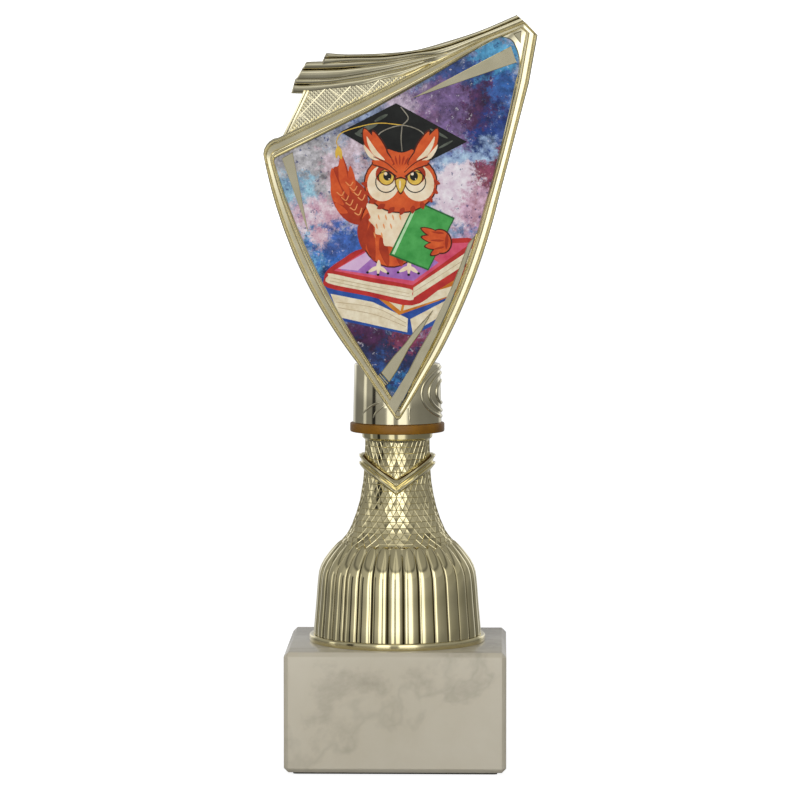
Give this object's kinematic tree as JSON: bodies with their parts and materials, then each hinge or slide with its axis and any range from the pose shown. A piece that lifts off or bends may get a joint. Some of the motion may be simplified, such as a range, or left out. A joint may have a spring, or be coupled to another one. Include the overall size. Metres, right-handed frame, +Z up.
{
  "type": "column trophy",
  "caption": "Award trophy: a marble block carries a fluted bell-shaped column, a spacer disc and a shield-shaped figure with draped ribbons and a printed picture plate.",
  "frame": {"origin": "centre of the underside, on the surface the trophy stands on, under the rod's axis", "axes": "+Z up along the rod's axis, front (picture side) towards -Y, +X to the right seen from the front"},
  "size_m": [0.0807, 0.06, 0.2216],
  "materials": {
    "marble": "polished light grey veined marble",
    "felt": "black felt",
    "steel": "zinc plated",
    "champagne_plating": "moulded plastic, vacuum-metallised bright champagne gold",
    "brown_disc": "satin amber brown",
    "picture_print": "full-colour print under clear resin"
  },
  "bodies": {
    "root": {"felt_sheet": "felt", "marble_base": "marble", "base_nut": "steel", "base_washer": "steel", "threaded_rod": "steel", "column": "champagne_plating", "spacer_disc": "brown_disc", "insert_nut": "steel", "figure_front": "champagne_plating", "figure_back": "champagne_plating", "picture_plate": "picture_print"}
  },
  "joints": []
}
